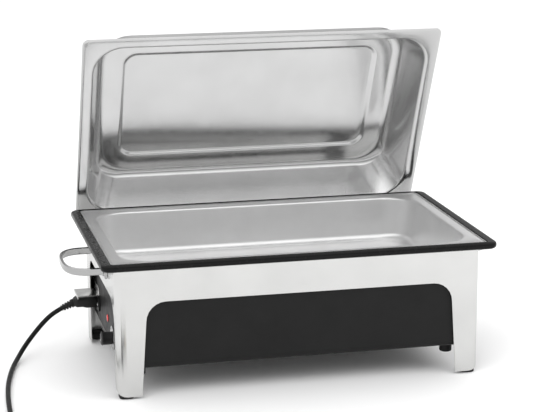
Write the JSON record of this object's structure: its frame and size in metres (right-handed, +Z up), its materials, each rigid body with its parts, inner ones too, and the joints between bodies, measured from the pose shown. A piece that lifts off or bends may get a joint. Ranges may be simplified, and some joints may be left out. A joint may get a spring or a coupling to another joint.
{
  "type": "electric chafing dish",
  "caption": "Electric chafing dish: a heated water bath in a bent-steel stand keeps a lift-out food pan warm under a hinged lid, with a thermostat knob and a supply cord.",
  "frame": {"origin": "On the table, under the middle of the outline seen from above at rest, with the lid open and the supply cord left out.", "axes": "+X is to the right for someone facing the front, +Y is towards the hinge side at the back, +Z is up."},
  "size_m": [0.7365, 0.6206, 0.4709],
  "materials": {
    "steel": "brushed",
    "polished_steel": "polished",
    "black_enamel": "satin",
    "black_gloss": "gloss",
    "rubber": "matte",
    "black_plastic": "matte",
    "red_lens": "gloss",
    "brass": "satin",
    "copper": "satin",
    "element_tube": "dull",
    "aluminised": "satin",
    "ceramic": "matte",
    "blue_wire": "matte",
    "brown_wire": "matte"
  },
  "bodies": {
    "base": {"coil_tie": "black_plastic", "connector_strain_relief": "rubber", "cord_coil": "rubber", "cord_connector": "black_plastic", "cord_tube": "rubber", "dial_plate": "steel", "drip_guard": "polished_steel", "element_clamp_left": "aluminised", "element_clamp_right": "aluminised", "food_pan": "steel", "foot_front_left": "rubber", "foot_front_right": "rubber", "foot_rear_left": "rubber", "foot_rear_right": "rubber", "handle_left": "polished_steel", "handle_right": "polished_steel", "heat_shield": "aluminised", "heater_housing": "black_enamel", "heating_element_front": "element_tube", "heating_element_rear": "element_tube", "hinge_bracket_left": "steel", "hinge_bracket_right": "steel", "hinge_pin_left": "polished_steel", "hinge_pin_right": "polished_steel", "housing_bottom_plate": "black_enamel", "housing_foot_front_left": "rubber", "housing_foot_front_right": "rubber", "housing_foot_rear_left": "rubber", "housing_foot_rear_right": "rubber", "inlet_screw_front": "steel", "inlet_screw_rear": "steel", "lamp_body": "black_plastic", "lamp_lens": "red_lens", "mains_plug": "black_plastic", "plug_pin_front": "brass", "plug_pin_rear": "brass", "plug_strain_relief": "rubber", "rim_frame": "black_gloss", "safety_limiter": "black_plastic", "stand_front_panel": "steel", "stand_left_band": "steel", "stand_rear_panel": "steel", "stand_right_band": "steel", "supply_inlet": "black_plastic", "terminal_block": "ceramic", "thermostat_body": "black_plastic", "thermostat_capillary": "copper", "thermostat_sensor": "copper", "water_pan": "steel", "wire_live": "brown_wire", "wire_neutral": "blue_wire"},
    "lid": {"lid_shell": "steel", "lid_handle": "polished_steel", "hinge_arm_left": "steel", "hinge_arm_right": "steel"},
    "thermostat_control": {"thermostat_knob": "black_plastic", "knob_ring": "polished_steel", "thermostat_shaft": "brass"}
  },
  "joints": [
    {"name": "lid_hinge", "type": "hinge", "parent": "base", "child": "lid", "pos_m": [0, 0.1253, 0.152], "axis": [-1, 0, 0], "range_deg": [-64, 26]},
    {"name": "thermostat_turn", "type": "hinge", "parent": "base", "child": "thermostat_control", "pos_m": [-0.2531, -0.1007, 0.062], "axis": [1, 0, 0], "range_deg": [0, 270]}
  ]
}
